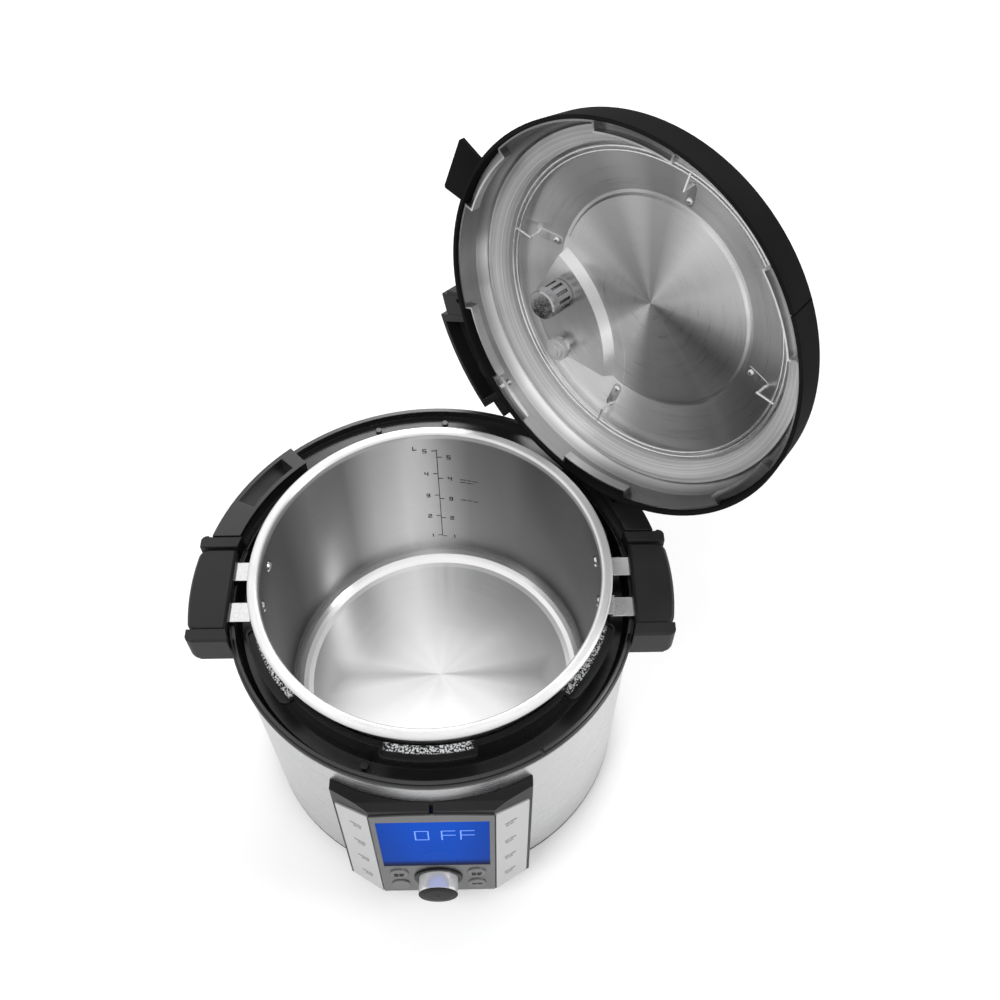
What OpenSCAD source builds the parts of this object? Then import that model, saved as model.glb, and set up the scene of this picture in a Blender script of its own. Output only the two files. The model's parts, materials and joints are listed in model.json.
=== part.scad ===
// Electric pressure cooker, seen open: base with its cooking pot, lid standing in the rear right slot.
// Millimetres, +Z up, base axis on Z, control panel toward -Y, handles along X, table at z = 0.

/* [Body] */
// height of the rubber feet
foot_h = 4; // [2:0.5:8]
// height of the base pan
pan_h = 10; // [6:1:16]
// room between the outer pot and the outside of the steel shell
well_room = 19.8; // [17:0.2:24]
// thickness of the steel shell
shell_t = 0.8; // [0.5:0.1:1.5]
// height of the steel shell
shell_h = 171.2; // [160:0.2:185]
// how far the collar overhangs the shell
collar_over = 1.6; // [0.8:0.2:3]
// how far the drip trough stops inside the shell
trough_w = 3.6; // [2.8:0.2:6]
// reach of the rear ledge and slot blocks beyond the shell
ledge_w = 21.2; // [18:0.2:26]

/* [Outer pot] */
// radial room between cooking pot and outer pot
pot_room = 1.8; // [1:0.1:4]
// wall of the outer pot
outer_t = 1; // [0.8:0.1:2]
// reach of the locking lobes beyond the outer pot
lobe_w = 9.8; // [7:0.2:11]
// half angle of one locking lobe
lobe_half = 14.5; // [10:0.5:17]

/* [Cooking pot] */
// inside radius of the cooking pot
pot_r = 109.4; // [104:0.2:112]
// wall of the cooking pot
pot_t = 0.8; // [0.6:0.1:1.5]
// inside depth of the cooking pot
pot_depth = 152; // [140:1:160]
// width of the pot rim beyond the pot wall
rim_w = 6.4; // [4:0.2:7.4]
// thickness of the bonded base disc
disc_t = 6; // [4:0.5:8]
// inside corner radius at the pot floor
pot_corner = 14; // [8:1:20]

/* [Pot handles] */
// half length of a grip pad
grip_half = 31; // [26:0.5:33]
// reach of the grip pads beyond the shell
grip_w = 25.7; // [20:0.1:29]
// corner radius of the grip pads
grip_c = 7; // [3:0.5:10]
// bevel round the top of the grip pads
grip_bevel = 1.8; // [0.6:0.2:3]
// distance of a strap centre from the X axis
strap_y = 15.5; // [12:0.5:18]
// width of a strap
strap_w = 14; // [10:0.5:16]
// strap thickness
strap_t = 1.6; // [1:0.1:2.5]

/* [Control panel] */
// how far the panel face stands out from the shell
panel_out = 9.7; // [7:0.1:14]
// height of the panel centre
panel_z = 90.5; // [86:0.5:100]
// lean of the panel from upright
panel_tilt = 4; // [0:0.5:8]
// half width of the middle face
face_half = 39; // [34:0.5:42]
// half height of the middle face
face_tall = 63; // [56:0.2:66]
// angle of the side faces
wing_angle = 30; // [20:1:40]
// width of a side face
wing_w = 24.6; // [20:0.2:28]
// black border outside the side faces
wing_edge = 2.6; // [0.8:0.2:5]
// thickness of the silver plates
plate_t = 1.2; // [0.8:0.1:2]
// display width
lcd_w = 71; // [60:0.2:73]
// display height
lcd_h = 71.4; // [60:0.2:74]
// height of the display centre above the panel centre
lcd_up = 18.8; // [12:0.2:22]

/* [Dial and buttons] */
// radius of the dial
dial_r = 13.5; // [10:0.1:16]
// reach of the dial from the panel
dial_h = 13.4; // [8:0.2:18]
// drop of the dial centre below the panel centre
dial_down = 37.2; // [34:0.2:42]
// radius of the button ends
btn_r = 6.2; // [5:0.1:7]
// straight length of the button sides
btn_l = 2.6; // [1:0.1:4]
// distance of the buttons from the middle
btn_x = 26.4; // [24:0.2:29]
// reach of the buttons beyond the panel
btn_out = 0.9; // [0.4:0.1:2]
// running clearance of the buttons and the dial
run_gap = 0.06; // [0.03:0.01:0.1]

/* [Lid] */
// how far the lid's open edge lies inside the shell radius
lid_in = 2.8; // [2.2:0.2:6]
// height of the lid side wall
lid_side = 23; // [20:0.5:26]
// compass angle the lid top faces
lid_az = 46.7; // [44:0.1:49]
// downward lean of the lid top
lid_lean = 8.5; // [6:0.5:10]
// compass angle of the fin that stands in the slot
park_a = 33.93; // [32:0.01:36]
// height at which that fin ends
park_z = 183.64; // [178:0.01:188]
// half angle of one lid tooth
tooth_half = 12.5; // [8:0.5:14]
// reach of the parked fin beyond the side wall
fin_reach = 18; // [12:0.5:20]
// reach of the far fin beyond the side wall
fin_far = 23.8; // [16:0.2:26]
// thickness of the lid fins
fin_t = 3; // [2:0.2:4]

/* [Hidden] */
$fn = 72;

// radii, from the cooking pot outward
fit = 0.2;
gap = 0.3;
pot_ro = pot_r + pot_t;
outer_in = pot_ro + pot_room;
outer_ro = outer_in + outer_t;
lobe_r = outer_ro + lobe_w;
shell_r = outer_ro + well_room;
rim_r = pot_ro + rim_w;
trough_r = shell_r - trough_w;
ledge_r = shell_r + ledge_w;
panel_y = shell_r + panel_out;
lid_r = shell_r - lid_in;
grip_r = shell_r + grip_w;
// body stack
shell_z = foot_h + pan_h;
lip_z = shell_z + shell_h;
lip_h = 3;
lip_top = lip_z + lip_h;
ridge_z = lip_top + 2;
collar_r = shell_r + collar_over;
shell_in = shell_r - shell_t;
plug_r = shell_in - fit;
trough_z = lip_top - 11.2;
collar_low = trough_z - 3.6;
block_z = lip_top + 10.8;
ledge_z = lip_top;
ledge_top = lip_top + 6;
ledge_t = 3;
block_low = lip_z - 10.7;
block_in = collar_r + 1.6;
block_a0 = 14;
block_a1 = 48;
slot_r0 = shell_r + 6.2;
slot_r1 = ledge_r - ledge_t;
slot_a0 = 27;
slot_a1 = 44;
// outer pot
collar_in = outer_ro + gap;
flange_z = lip_top + 8.4;
flange_t = 1.6;
bead_z = flange_z + 3.2;
valley_r = outer_ro + 2.2;
lobe_c = 4.4;
strap_room = 26;
// cooking pot
rim_top = lip_top + 30.8;
pot_floor = rim_top - pot_depth;
vessel_low = pot_floor - pot_t;
disc_low = vessel_low - disc_t;
disc_r = pot_r - pot_corner - 2;
rim_z = rim_top - 3.4;
// heater
heat_top = disc_low - fit;
heat_t = 9.8;
heat_low = heat_top - heat_t;
heat_r = disc_r - 4;
leg_h = 5.8;
outer_low = heat_low - leg_h;
sensor_r = 14.8;
// straps and grips
strap_top = lip_top + 3.8;
plate_z = strap_top + 1;
plate_top = plate_z + 10;
step_r = rim_r + 2.9;
strap_end = collar_r + 6.6;
grip_in = shell_r - 1.3;
grip_top = strap_top + 5;
grip_low = grip_top - 16;
grip_lip = lip_top + 0.8;
grip_neck = collar_r + 2.1;
cradle_top = grip_top + 1.6;
cradle_low = lip_z - 10.7;
cradle_in = grip_half + gap;
cradle_half = grip_half + 9;
cradle_floor = grip_low - fit;
cradle_r = grip_r - 2.5;
// panel
wing_x = wing_w * cos(wing_angle) + wing_edge;
wing_back = wing_x * tan(wing_angle);
wall_t = 2.4;
lcd_t = 1;
board_z = -8.8;
shaft_r = 3;
ring_r = dial_r + 3.1;
btn_y = [7.5 - dial_down, -12.2 - dial_down];
btn_flange = 1.2;
housing_cap = lip_z - 23.4;
housing_low = shell_z + 12;
// lid
lid_t = 2.4;
lid_top_r = lid_r - 2.8;
steel_t = 1.2;
steel_z = 44.2;
wall_in = lid_r - 4.2;
seat_r = lid_r - 6.5;
tooth_in = lid_r - 10;
tooth_z = 1.5;
tooth_t = 2;
kidney_r = lid_r - 59;
kidney_h = 1.3;
rack_in = seat_r - 33.5;
pocket_c = [3, lid_r - 3.5];
pocket_r = lid_r - 48.5;
pocket_z = steel_z - 6;
fin_a = 30;
fin_far_a = 140.6;
fin_z = 15.5;
fin_half = 14.5;
fin_far_half = 20.5;
shield_r = kidney_r - 1;
shield_a = 103;
float_r = kidney_r + 11;
float_a = 76;
block_r = lid_r + 31;
block_b0 = 66;
block_b1 = 105;
block_z0 = 7;
block_z1 = 27;

// shared by several modules
lid_turn = -36;
board_post = 8;
rear_low = shell_z + 20;
cup_x = 30;
cup_y = ledge_r - 7.6;
cup_z0 = 118;
cup_z1 = 166;
inlet_x = 14;
inlet_z0 = 52;
inlet_z1 = 76;
btn_back = -3.4;
rivet_a = 8;
rivet_r = 2.15;
rivet_z = plate_z + 6;
pin_a = 74;
pin_r = tooth_in + 1.9;
pin_d = 1.5;
tab_a0 = 61;
tab_a1 = 77;

// ---------- helpers ----------
module ring(r0, r1, z0, z1) {
  translate([0, 0, z0])
    difference() {
      cylinder(r = r1, h = z1 - z0);
      translate([0, 0, -1])
        cylinder(r = r0, h = z1 - z0 + 2);
    }
}

// annular sector from angle a0 to a1
module sector(r0, r1, z0, z1, a0, a1) {
  rotate([0, 0, a0])
    rotate_extrude(angle = a1 - a0)
      translate([r0, z0])
        square([r1 - r0, z1 - z0]);
}

module slab(x0, x1, y0, y1, z0, z1) {
  translate([x0, y0, z0])
    cube([x1 - x0, y1 - y0, z1 - z0]);
}

// frame on the leaning panel face: X right, Y up the face, Z outward
module panel_frame() {
  translate([0, -panel_y, panel_z])
    rotate([90 - panel_tilt, 0, 0])
      children();
}

module wing_frame(side) {
  panel_frame()
    translate([side * face_half, 0, 0])
      rotate([0, side * wing_angle, 0])
        children();
}

// stadium outline standing upright
module stadium(r, l, z0, z1) {
  translate([0, 0, z0]) {
    translate([0, l / 2, 0])
      cylinder(r = r, h = z1 - z0);
    translate([0, -l / 2, 0])
      cylinder(r = r, h = z1 - z0);
    translate([-r, -l / 2, 0])
      cube([2 * r, l, z1 - z0]);
  }
}

function spun(v, a) = [v[0] * cos(a) - v[1] * sin(a), v[0] * sin(a) + v[1] * cos(a), v[2]];
function leant(v, a) = [v[0] * cos(a) + v[2] * sin(a), v[1], v[2] * cos(a) - v[0] * sin(a)];
function lid_way(v) = spun(leant(spun(v, lid_turn), 90 + lid_lean), lid_az);

// the lid's centre follows from where its parked fin ends in the slot
park_r = (slot_r0 + slot_r1) / 2 - 1.64;
fin_end = lid_way([(lid_r + fin_reach) * cos(fin_a), (lid_r + fin_reach) * sin(fin_a), fin_z]);
lid_centre = [park_r * cos(park_a), park_r * sin(park_a), park_z] - fin_end;

// lid frame: open edge at z = 0, top toward +Z, rear block toward +Y
module lid_frame() {
  translate(lid_centre)
    rotate([0, 0, lid_az])
      rotate([0, 90 + lid_lean, 0])
        rotate([0, 0, lid_turn])
          children();
}

// ---------- base ----------
module base_pan() {
  color("#1c1c1e")
    difference() {
      union() {
        ring(shell_r - 4, shell_r - 2.2, foot_h, shell_z);
        ring(shell_r - 5, shell_r, shell_z - 3, shell_z);
        ring(plug_r - 2.4, plug_r, shell_z - 1, shell_z + 6);
        translate([0, 0, foot_h])
          cylinder(r = shell_r - 3, h = 3);
        for (a = [45:90:315])
          rotate([0, 0, a])
            translate([outer_ro - 6, 0, foot_h + 2])
              cylinder(r = 5, h = board_post);
      }
      for (a = [0:15:345])
        rotate([0, 0, a])
          slab(58, 88, -2, 2, foot_h - 1, foot_h + 4);
      for (a = [45:90:315])
        rotate([0, 0, a])
          translate([outer_ro - 6, 0, foot_h - 1])
            cylinder(r = 2.6, h = 6);
    }
}

module foot(a) {
  color("#2a2a2c")
    rotate([0, 0, a])
      translate([outer_ro - 6, 0, 0]) {
        cylinder(r = 9, h = foot_h);
        cylinder(r = 2.55, h = foot_h + 4);
      }
}

module steel_shell() {
  color("#c9cacb")
    difference() {
      ring(shell_in, shell_r, shell_z, lip_z);
      slab(-46, 46, -shell_r - 5, -shell_r + 30, panel_z - 50, panel_z + 54);
      slab(-30, 30, shell_r - 30, shell_r + 5, shell_z + 14, shell_z + 60);
    }
}

module collar_profile() {
  polygon([
    [collar_in, collar_low], [plug_r, collar_low], [plug_r, lip_z], [collar_r, lip_z],
    [collar_r, lip_top - 0.6], [collar_r - 0.6, lip_top], [collar_r - 1.2, lip_top + 0.3],
    [collar_r - 1.2, lip_top - 0.3], [collar_r - 1.8, lip_top - 0.3], [collar_r - 1.8, lip_top + 0.8],
    [collar_r - 2.8, ridge_z - 0.6], [collar_r - 3.2, ridge_z], [collar_r - 4, ridge_z],
    [collar_r - 4.2, ridge_z - 4], [trough_r, trough_z + 4], [trough_r - 2.4, trough_z],
    [collar_in + 5, trough_z], [collar_in + 3.4, trough_z + 8], [collar_in + 2, flange_z],
    [collar_in, flange_z]
  ]);
}

module rear_sector(side) {
  difference() {
    union() {
      sector(shell_r + fit, ledge_r, block_low, lip_z + 0.5, side_a0(side), side_a1(side));
      sector(collar_r - 1, ledge_r, lip_z, lip_top, side_a0(side), side_a1(side));
      sector(block_in, ledge_r, lip_z, block_z, side_a0(side), side_a1(side));
    }
    sector(slot_r0, slot_r1, block_low - 1, block_z + 1, slot_lo(side), slot_hi(side));
    slab(-ledge_r - 1, ledge_r + 1, 0, cradle_half, block_low - 1, block_z + 1);
  }
}

function side_a0(side) = side > 0 ? block_a0 : 180 - block_a1;
function side_a1(side) = side > 0 ? block_a1 : 180 - block_a0;
function slot_lo(side) = side > 0 ? slot_a0 : 180 - slot_a1;
function slot_hi(side) = side > 0 ? slot_a1 : 180 - slot_a0;

module collar() {
  color("#1b1b1d")
    difference() {
      union() {
        rotate_extrude()
          collar_profile();
        rear_sector(1);
        rear_sector(-1);
        sector(shell_r + fit, ledge_r, ledge_z - 4, lip_z + 0.5, block_a1 - 1, 180 - block_a1 + 1);
        sector(collar_r - 1, ledge_r, lip_z, ledge_z, block_a1 - 1, 180 - block_a1 + 1);
        sector(ledge_r - ledge_t, ledge_r, ledge_z - 1, ledge_top, block_a1 - 1, 180 - block_a1 + 1);
        for (a = [107, 87.4])
          rotate([0, 0, a])
            translate([collar_r + 9.6, 0, ledge_z - 1])
              cylinder(r = 2.2, h = 2.6);
        rotate([0, 0, -108.6])
          translate([trough_r - 5.6, 0, trough_z - 1])
            cylinder(r = 2.6, h = 7);
      }
      for (s = [0, 180])
        rotate([0, 0, s]) {
          slab(lobe_r - 6, grip_neck - 0.5, -cradle_in - 2.6, cradle_in + 2.6, lip_top, ridge_z + 9);
          slab(collar_in - 6, step_r + 0.5, -strap_room, strap_room, strap_top - 5, ridge_z + 9);
        }
      rotate([0, 0, -59])
        slab(collar_r - 4.6, collar_r + 1, -1.2, 1.2, lip_top - 0.5, ridge_z + 1);
    }
}

// end wall of a side handle, with a round outer corner and a bevelled top edge
module cradle_wall(s) {
  c = 4;
  difference() {
    union() {
      slab(shell_r - 13, cradle_r, s > 0 ? cradle_in : c - cradle_half,
           s > 0 ? cradle_half - c : -cradle_in, cradle_low, cradle_top);
      slab(shell_r - 13, cradle_r - c, s > 0 ? cradle_in : -cradle_half,
           s > 0 ? cradle_half : -cradle_in, cradle_low, cradle_top);
      translate([cradle_r - c, s * (cradle_half - c), cradle_low])
        cylinder(r = c + 0.03, h = cradle_top - cradle_low);
    }
    translate([0, s * cradle_half, cradle_top - 1.2])
      rotate([s * 45, 0, 0])
        slab(shell_r - 14, cradle_r - c - 1, s > 0 ? 0 : -8, s > 0 ? 8 : 0, -4, 8);
  }
}

// side handle of the base that the grips nest in
module handle_cradle(turn) {
  color("#232325")
    rotate([0, 0, turn])
      difference() {
        union() {
          for (s = [-1, 1])
            cradle_wall(s);
          slab(shell_r - 13, cradle_r, -cradle_in - 1, cradle_in + 1, cradle_low, cradle_floor);
        }
        translate([0, 0, cradle_low - 1])
          cylinder(r = shell_r + fit, h = lip_z - cradle_low + 1);
        translate([0, 0, lip_z])
          cylinder(r = collar_r + gap, h = cradle_top - lip_z + 1);
        translate([cradle_r - 6, 0, cradle_low])
          rotate([0, 45, 0])
            slab(0, 20, -cradle_half - 1, cradle_half + 1, -10, 20);
      }
}

// bulge on the back that holds the mains inlet and the drip cup
module rear_housing() {
  color("#1e1e20")
    difference() {
      sector(shell_r + fit, ledge_r - 2, rear_low, ledge_z - 4, 62, 118);
      sector(shell_r + 3, ledge_r - 4.6, rear_low + 3, ledge_z - 7, 64, 116);
      slab(-cup_x - fit, cup_x + fit, cup_y, ledge_r + 5, cup_z0 - 1, cup_z1 + 1);
      slab(-inlet_x, inlet_x, shell_r + 6, ledge_r + 5, inlet_z0, inlet_z1);
    }
  color("#1e1e20")
    slab(-cup_x - 2, cup_x + 2, cup_y - 2.4, cup_y, cup_z0 - 3, cup_z1 + 3);
}

module power_inlet() {
  color("#121213")
    difference() {
      union() {
        slab(-inlet_x + 0.1, inlet_x - 0.1, shell_r + 5, ledge_r - 3, inlet_z0 + 0.1, inlet_z1 - 0.1);
        slab(-inlet_x - 2, inlet_x + 2, shell_r + 3.2, shell_r + 5, inlet_z0 - 2, inlet_z1 + 2);
      }
      slab(-inlet_x + 3, inlet_x - 3, shell_r + 8, ledge_r, inlet_z0 + 3, inlet_z1 - 3);
    }
  color("#b0a070")
    for (x = [-6, 0, 6])
      slab(x - 1, x + 1, shell_r + 7, shell_r + 15,
           (inlet_z0 + inlet_z1) / 2 - 2.5, (inlet_z0 + inlet_z1) / 2 + 2.5);
}

module condensate_cup() {
  color("#8f9396")
    difference() {
      slab(-cup_x, cup_x, cup_y + fit, cup_y + 22, cup_z0, cup_z1);
      slab(-cup_x + 1.6, cup_x - 1.6, cup_y + fit + 1.6, cup_y + 20.4, cup_z0 + 1.6, cup_z1 + 1);
    }
}

// ---------- heated pot well ----------
module lobed(d, z0, z1) {
  translate([0, 0, z0])
    cylinder(r = valley_r - d, h = z1 - z0);
  for (a = [-90:60:210])
    rotate([0, 0, a]) {
      sector(valley_r - d - 0.6, lobe_r - d, z0, z1, -lobe_half + 2.3, lobe_half - 2.3);
      for (s = [-1, 1])
        rotate([0, 0, s * (lobe_half - 2.3)]) {
          translate([lobe_r - lobe_c, 0, z0])
            cylinder(r = lobe_c - d, h = z1 - z0);
          slab(valley_r - d - 0.6, lobe_r - lobe_c, s > 0 ? -1 : d - lobe_c, s > 0 ? lobe_c - d : 1, z0, z1);
        }
    }
}

module outer_pot() {
  color("#3a3a3c")
    difference() {
      union() {
        ring(outer_in, outer_ro, outer_low - outer_t, flange_z + flange_t);
        translate([0, 0, outer_low - outer_t])
          cylinder(r = outer_ro - 0.5, h = outer_t);
        difference() {
          lobed(0, flange_z, bead_z);
          lobed(1.5, flange_z + flange_t, bead_z + 1);
        }
      }
      translate([0, 0, outer_low])
        cylinder(r = outer_in, h = 300);
      translate([0, 0, outer_low - 5])
        cylinder(r = 30, h = 10);
      for (s = [0, 180])
        rotate([0, 0, s])
          slab(outer_in - 6, lobe_r, -strap_room + 2, strap_room - 2, plate_z - 1.6, bead_z + 2);
    }
}

module heater_plate() {
  color("#9a9b9d")
    difference() {
      union() {
        translate([0, 0, heat_low])
          cylinder(r = heat_r, h = heat_t);
        for (a = [30:120:270])
          rotate([0, 0, a])
            translate([heat_r - 6, 0, outer_low])
              cylinder(r = 4, h = leg_h + 1);
      }
      translate([0, 0, heat_low - 1])
        cylinder(r = sensor_r + 0.5, h = heat_t + 2);
      rotate_extrude()
        translate([heat_r - 22, heat_low])
          square([10.2, 3.1]);
    }
}

// sheathed element pressed into the groove under the plate
module heater_element() {
  color("#6d6f72") {
    rotate_extrude()
      translate([heat_r - 21.9, heat_low - 3])
        square([10, 6]);
    for (s = [-1, 1])
      rotate([0, 0, 180 + s * 9])
        translate([heat_r - 17, 0, outer_low + 1])
          cylinder(r = 2.4, h = 3);
  }
}

module sensor_cap() {
  color("#d5d6d8") {
    translate([0, 0, heat_top - 8])
      difference() {
        cylinder(r = sensor_r, h = 7.9);
        translate([0, 0, -1])
          cylinder(r = sensor_r - 1.4, h = 7);
      }
    translate([0, 0, outer_low - 13])
      cylinder(r = 4, h = heat_top - outer_low + 11.4);
  }
}

// strap below the pot well that guides the sensor stem
module sensor_bracket() {
  color("#b9babc")
    difference() {
      union() {
        slab(-38, 38, -7, 7, outer_low - 12, outer_low - 10.4);
        for (s = [-1, 1])
          slab(s > 0 ? 36.4 : -38, s > 0 ? 38 : -36.4, -7, 7, outer_low - 12, outer_low - outer_t);
        translate([0, 0, outer_low - 12])
          cylinder(r = 7, h = 5);
      }
      translate([0, 0, outer_low - 14])
        cylinder(r = 4 + run_gap, h = 10);
    }
}

module thermal_fuse() {
  color("#e2dfd2")
    translate([-58, 0, outer_low - outer_t])
      mirror([0, 0, 1])
        cylinder(r = 5, h = 6);
  color("#c8c9cb")
    slab(-66, -50, -4, 4, outer_low - outer_t - 7.2, outer_low - outer_t - 6);
}

module power_board() {
  color("#2f5d3a")
    slab(30, 92, -28, 28, foot_h + 8, foot_h + 9.6);
  color("#15161a")
    slab(36, 54, -20, -4, foot_h + 9.6, foot_h + 22);
  color("#b8862c")
    slab(60, 80, 2, 22, foot_h + 9.6, foot_h + 20);
  color("#dcdcd6")
    for (y = [-22, 22])
      translate([86, y, foot_h + 3])
        cylinder(r = 2.6, h = 5);
}

// ---------- control panel ----------
module bay(inset, tall) {
  hx = face_half + wing_x - inset;
  f = face_half - inset * tan(wing_angle / 2);
  b = wing_back + inset * 0.1;
  rotate([90, 0, 0])
    translate([0, 0, -tall])
      linear_extrude(2 * tall)
        polygon([
          [-f, -inset], [f, -inset], [hx, -b - inset],
          [hx, -b - 34], [-hx, -b - 34], [-hx, -b - inset]
        ]);
}

module control_housing() {
  color("#19191b")
    difference() {
      intersection() {
        panel_frame()
          bay(0, 74);
        rotate([90, 0, 90])
          translate([0, 0, -80])
            linear_extrude(160)
              polygon([
                [-panel_y - 24, housing_low], [33 - shell_r, housing_low], [33 - shell_r, housing_cap],
                [-shell_r, housing_cap], [-panel_y + 2, housing_cap - 4.8], [-panel_y - 24, housing_cap - 4.8]
              ]);
      }
      translate([0, 0, housing_low - 1])
        cylinder(r = shell_r + fit, h = 200);
      intersection() {
        panel_frame()
          bay(wall_t, 80);
        slab(-face_half - 60, face_half + 60, -panel_y - 60, 40 - shell_r,
             housing_low + wall_t, housing_cap - 7.4);
      }
      panel_frame() {
        slab(-lcd_w / 2 + 2, lcd_w / 2 - 2, lcd_up - lcd_h / 2 + 2, lcd_up + lcd_h / 2 - 2, -5, 2);
        translate([0, -dial_down, -5])
          cylinder(r = 4.1, h = 7);
        for (s = [-1, 1])
          for (y = btn_y)
            translate([s * btn_x, y, 0])
              stadium(btn_r + 1.6, btn_l, -5, 2);
        slab(-1.2, 1.2, face_tall + 0.6, face_tall + 20, -3.4, 2);
      }
    }
}

module face_panel() {
  color("#bfc0c2")
    panel_frame()
      difference() {
        intersection() {
          slab(-face_half + 0.15, face_half - 0.15, -face_tall, face_tall + 4, 0, plate_t);
          translate([0, face_tall + 1.6 - 380, -1])
            cylinder(r = 380, h = plate_t + 2, $fn = 180);
        }
        slab(-lcd_w / 2 - 0.1, lcd_w / 2 + 0.1, lcd_up - lcd_h / 2 - 0.1, lcd_up + lcd_h / 2 + 0.1,
             -1, plate_t + 1);
        translate([0, -dial_down, -1])
          cylinder(r = 8, h = plate_t + 2);
        for (s = [-1, 1])
          for (y = btn_y)
            translate([s * btn_x, y, 0])
              stadium(btn_r + run_gap, btn_l, -1, plate_t + 1);
      }
}

module key_panel(side) {
  color("#cfd0d2")
    wing_frame(side)
      scale([side, 1, 1])
        linear_extrude(plate_t)
          polygon([[0.3, -face_tall], [wing_w, 3.6 - face_tall], [wing_w, face_tall - 6], [0.3, face_tall]]);
}

module display_window() {
  color("#1440d8")
    panel_frame()
      slab(-lcd_w / 2, lcd_w / 2, lcd_up - lcd_h / 2, lcd_up + lcd_h / 2, 0, lcd_t);
}

module display_module() {
  color("#20242c")
    panel_frame()
      slab(-lcd_w / 2 - 1, lcd_w / 2 + 1, lcd_up - lcd_h / 2 - 1, lcd_up + lcd_h / 2 - 3, -5.6, -wall_t);
}

module control_board() {
  color("#1f5c38")
    panel_frame()
      slab(-42, 42, -56, 48, board_z, board_z + 1.6);
  color("#c9c9c4")
    panel_frame()
      for (s = [-1, 1])
        for (y = btn_y)
          slab(s * btn_x - 3, s * btn_x + 3, y - 3, y + 3, board_z + 1.6, btn_back - 1.3);
  color("#d8d8d2")
    panel_frame()
      for (s = [-1, 1])
        slab(s * (face_half - 2.4) - 1.2, s * (face_half - 2.4) + 1.2, -24, -20, board_z + 1.6, -wall_t);
}

module dial_ring() {
  color("#0f0f10")
    panel_frame()
      translate([0, -dial_down, 0])
        rotate_extrude()
          polygon([
            [dial_r + 0.3, plate_t], [ring_r, plate_t], [ring_r, plate_t + 1],
            [ring_r - 0.6, plate_t + 1.6], [dial_r + 0.3, plate_t + 1.6]
          ]);
}

module dial_body() {
  color("#e4e4e6")
    panel_frame()
      translate([0, -dial_down, 0])
        rotate_extrude()
          polygon([
            [shaft_r + 0.05, plate_t + 1.2], [6, plate_t + 1.2], [6, dial_h - 2], [dial_r - 1.6, dial_h - 2],
            [dial_r - 1.6, plate_t + 0.4], [dial_r, plate_t + 0.4], [dial_r, dial_h], [shaft_r + 0.05, dial_h]
          ]);
}

module dial_cap() {
  color("#47484b")
    panel_frame()
      translate([0, -dial_down, 0])
        rotate_extrude()
          polygon([
            [0, dial_h], [dial_r - 0.1, dial_h], [dial_r - 0.3, dial_h + 0.5],
            [9, dial_h + 1], [0, dial_h + 1.2]
          ]);
}

module dial_shaft() {
  color("#a8a9ab")
    panel_frame()
      translate([0, -dial_down, board_z + 2.6])
        cylinder(r = shaft_r, h = dial_h - board_z - 2.6);
}

module dial_encoder() {
  color("#5b5d61")
    panel_frame()
      translate([0, -dial_down, 0])
        difference() {
          union() {
            slab(-6.5, 6.5, -6.5, 6.5, board_z + 1.6, -wall_t);
            translate([0, 0, -wall_t])
              cylinder(r = 3.95, h = wall_t + 1);
          }
          translate([0, 0, board_z + 2.4])
            cylinder(r = shaft_r + run_gap, h = 20);
        }
}

module button(side, y) {
  color("#c4c5c7")
    panel_frame()
      translate([side * btn_x, y, 0]) {
        stadium(btn_r, btn_l, -0.9, plate_t + btn_out - 0.4);
        stadium(btn_r - 0.5, btn_l, plate_t + btn_out - 0.4, plate_t + btn_out);
        stadium(btn_r + 1.1, btn_l, -0.9 - btn_flange, -0.9);
        stadium(2, 0.4, btn_back, -0.9 - btn_flange);
      }
}

// ---------- cooking pot ----------
module pot_vessel() {
  color("#d4d5d6")
    difference() {
      vessel_body();
      for (turn = [0, 180])
        for (s = [-1, 1])
          rotate([0, 0, turn + s * rivet_a])
            translate([pot_r - 4, 0, rivet_z])
              rotate([0, 90, 0])
                cylinder(r = rivet_r + 0.05, h = 8);
    }
}

module vessel_body() {
    rotate_extrude()
      polygon(concat(
        [[0, vessel_low], [pot_ro - pot_corner - 0.4, vessel_low]],
        [for (a = [-75:15:0])
          [pot_r - pot_corner + (pot_corner + pot_t) * cos(a), pot_floor + pot_corner + (pot_corner + pot_t) * sin(a)]],
        [[pot_ro, rim_top - 4.6], [pot_ro + 1, rim_z - 0.2], [rim_r - 1, rim_z - 0.2], [rim_r, rim_z + 0.7],
         [rim_r, rim_top - 1.7]],
        [for (a = [22.5:22.5:90]) [rim_r - 1.7 + 1.7 * cos(a), rim_top - 1.7 + 1.7 * sin(a)]],
        [for (a = [90:22.5:180]) [pot_r + 2.2 + 2.2 * cos(a), rim_top - 2.2 + 2.2 * sin(a)]],
        [for (a = [0:-15:-75])
          [pot_r - pot_corner + pot_corner * cos(a), pot_floor + pot_corner + pot_corner * sin(a)]],
        [[pot_r - pot_corner, pot_floor], [0, pot_floor]]
      ));
}

module pot_base_disc() {
  color("#b4b5b7")
    rotate_extrude()
      polygon([
        [0, disc_low], [disc_r - 1.4, disc_low], [disc_r, disc_low + 1.4], [disc_r, vessel_low - 0.01],
        [0, vessel_low - 0.01]
      ]);
}

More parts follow.
